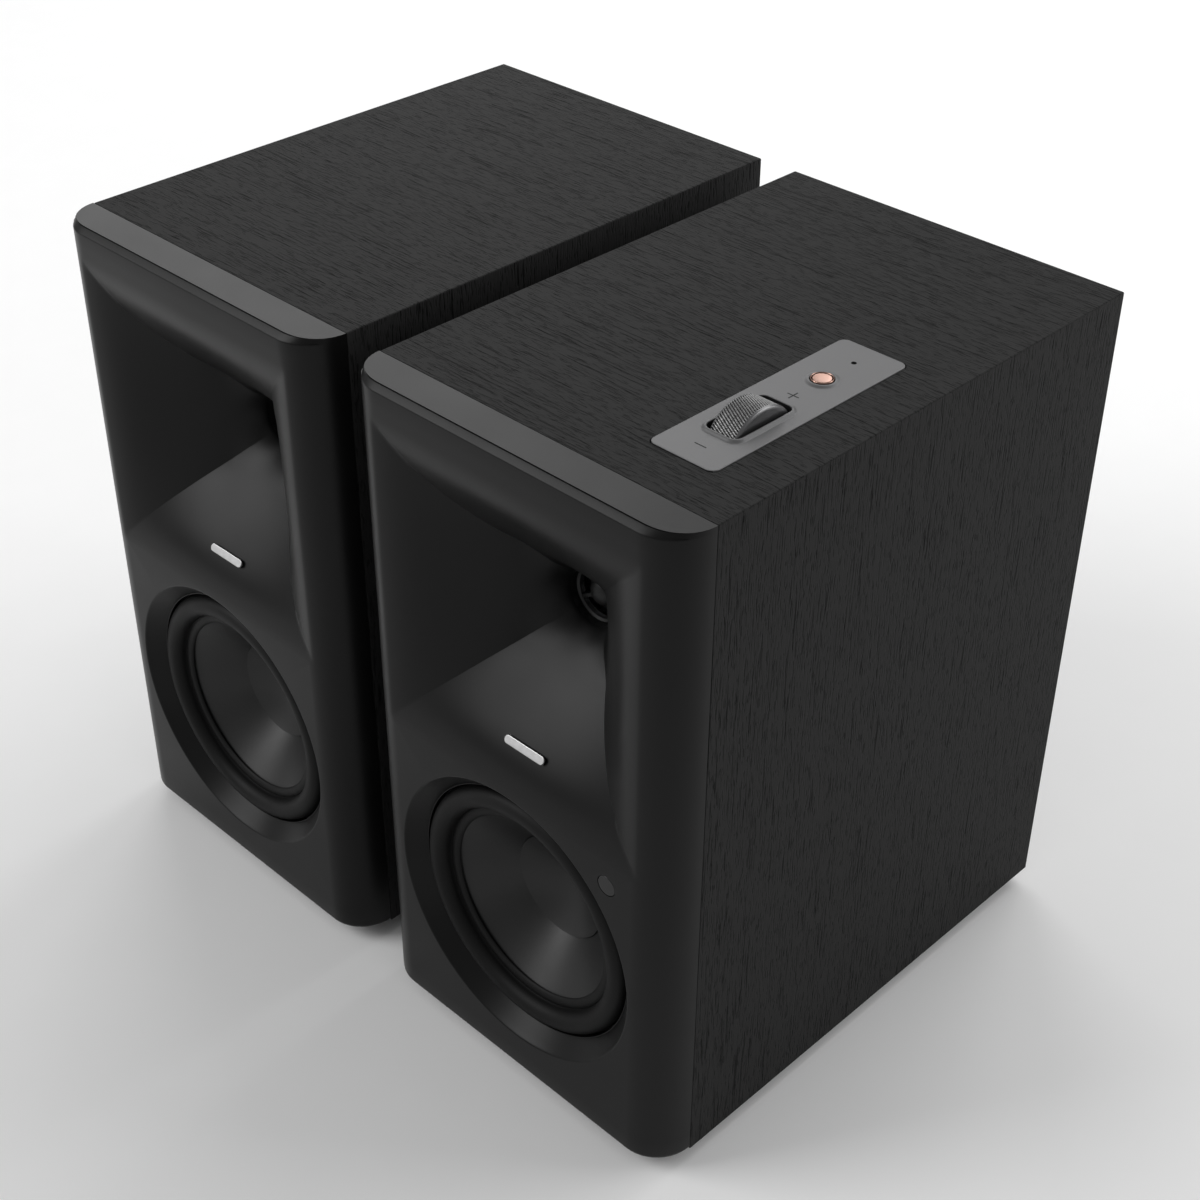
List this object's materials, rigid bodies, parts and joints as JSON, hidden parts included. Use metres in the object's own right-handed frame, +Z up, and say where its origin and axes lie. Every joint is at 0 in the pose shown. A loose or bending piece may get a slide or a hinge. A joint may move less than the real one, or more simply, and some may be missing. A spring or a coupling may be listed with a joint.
{
  "type": "desktop loudspeaker pair",
  "caption": "Powered desktop loudspeakers with moulded square horn baffles, rubber-edged woofers, rear ports, and a volume wheel and button let into one cabinet's top.",
  "frame": {"origin": "middle of the pair's footprint, on the surface that the feet stand on", "axes": "+X from the left cabinet to the right one as seen from the front, fronts face -Y, +Z up"},
  "size_m": [0.349, 0.264, 0.312],
  "materials": {
    "wood_wrap": "black ash grain foil over board, satin",
    "moulding": "satin black moulded plastic",
    "rubber": "matte black rubber",
    "black_plastic": "fine-grained black plastic",
    "painted_steel": "black powder coat",
    "cone_fibre": "black coated cone",
    "spider_cloth": "resin-treated woven cloth",
    "coil": "wound copper wire",
    "bare_steel": "plated steel",
    "ferrite": "sintered ferrite",
    "bare_aluminium": "satin aluminium",
    "dome_film": "thin pressed foil",
    "control_metal": "bead-blasted grey anodised aluminium",
    "copper_finish": "copper-coloured anodised aluminium",
    "circuit_board": "solder mask over glass fibre",
    "light_lens": "dark clear plastic",
    "smoked_lens": "smoked clear plastic",
    "gold_plating": "gold-plated brass"
  },
  "bodies": {
    "right_speaker": {"right_cabinet": "wood_wrap", "right_rear_panel": "wood_wrap", "right_baffle": "moulding", "right_front_foot": "rubber", "right_rear_foot": "rubber", "right_port_tube": "black_plastic", "right_woofer_frame": "painted_steel", "right_woofer_surround": "rubber", "right_woofer_spider": "spider_cloth", "right_woofer_top_plate": "bare_steel", "right_woofer_magnet": "ferrite", "right_woofer_yoke": "bare_steel", "right_tweeter_phase_plug": "bare_aluminium", "right_tweeter_motor": "painted_steel", "right_link_socket": "black_plastic", "control_plate": "control_metal", "wheel_bracket": "black_plastic", "control_board": "circuit_board", "status_light": "light_lens", "sensor_window": "smoked_lens", "amp_plate": "black_plastic", "amp_board": "circuit_board", "power_transformer": "painted_steel", "mains_inlet": "black_plastic", "hdmi_socket": "bare_steel", "optical_socket": "black_plastic", "usb_socket": "bare_steel", "input_jacks": "gold_plating", "aux_jack": "black_plastic", "subwoofer_jack": "gold_plating", "ground_post": "bare_steel"},
    "right_cone_assembly": {"right_woofer_cone": "cone_fibre", "right_woofer_dust_cap": "cone_fibre", "right_woofer_voice_coil": "coil"},
    "right_diaphragm": {"right_tweeter_diaphragm": "dome_film"},
    "left_speaker": {"left_cabinet": "wood_wrap", "left_rear_panel": "wood_wrap", "left_baffle": "moulding", "left_front_foot": "rubber", "left_rear_foot": "rubber", "left_port_tube": "black_plastic", "left_woofer_frame": "painted_steel", "left_woofer_surround": "rubber", "left_woofer_spider": "spider_cloth", "left_woofer_top_plate": "bare_steel", "left_woofer_magnet": "ferrite", "left_woofer_yoke": "bare_steel", "left_tweeter_phase_plug": "bare_aluminium", "left_tweeter_motor": "painted_steel", "left_link_socket": "black_plastic", "link_plate": "black_plastic"},
    "left_cone_assembly": {"left_woofer_cone": "cone_fibre", "left_woofer_dust_cap": "cone_fibre", "left_woofer_voice_coil": "coil"},
    "left_diaphragm": {"left_tweeter_diaphragm": "dome_film"},
    "wheel": {"volume_wheel": "control_metal"},
    "button": {"source_button": "copper_finish"},
    "channel_knob": {"channel_switch": "black_plastic"},
    "level_knob": {"level_switch": "black_plastic"},
    "nut": {"ground_nut": "gold_plating"}
  },
  "joints": [
    {"name": "volume_turn", "type": "hinge", "parent": "right_speaker", "child": "wheel", "pos_m": [0.1375, -0.0563, 0.2945], "axis": [1, 0, 0], "continuous": true},
    {"name": "source_press", "type": "slide", "parent": "right_speaker", "child": "button", "axis": [0, 0, -1], "range_m": [0, 0.0008], "stiffness_N_per_m": 600, "springref_m": -0.0006},
    {"name": "channel_slide", "type": "slide", "parent": "right_speaker", "child": "channel_knob", "axis": [1, 0, 0], "range_m": [0, 0.004]},
    {"name": "level_slide", "type": "slide", "parent": "right_speaker", "child": "level_knob", "axis": [1, 0, 0], "range_m": [0, 0.004]},
    {"name": "ground_nut_turn", "type": "hinge", "parent": "right_speaker", "child": "nut", "pos_m": [0.1, 0.1261, 0.051], "axis": [0, 1, 0], "range_deg": [0, 720]},
    {"name": "pair_spacing", "type": "slide", "parent": "right_speaker", "child": "left_speaker", "axis": [-1, 0, 0], "range_m": [0, 0.5]},
    {"name": "right_woofer_travel", "type": "slide", "parent": "right_speaker", "child": "right_cone_assembly", "axis": [0, -1, 0], "range_m": [-0.004, 0.004], "stiffness_N_per_m": 1200, "deforming": ["right_woofer_surround", "right_woofer_spider"]},
    {"name": "right_tweeter_travel", "type": "slide", "parent": "right_speaker", "child": "right_diaphragm", "axis": [0, -1, 0], "range_m": [-0.0002, 0.0002], "stiffness_N_per_m": 3000},
    {"name": "left_woofer_travel", "type": "slide", "parent": "left_speaker", "child": "left_cone_assembly", "axis": [0, -1, 0], "range_m": [-0.004, 0.004], "stiffness_N_per_m": 1200, "deforming": ["left_woofer_surround", "left_woofer_spider"]},
    {"name": "left_tweeter_travel", "type": "slide", "parent": "left_speaker", "child": "left_diaphragm", "axis": [0, -1, 0], "range_m": [-0.0002, 0.0002], "stiffness_N_per_m": 3000}
  ]
}
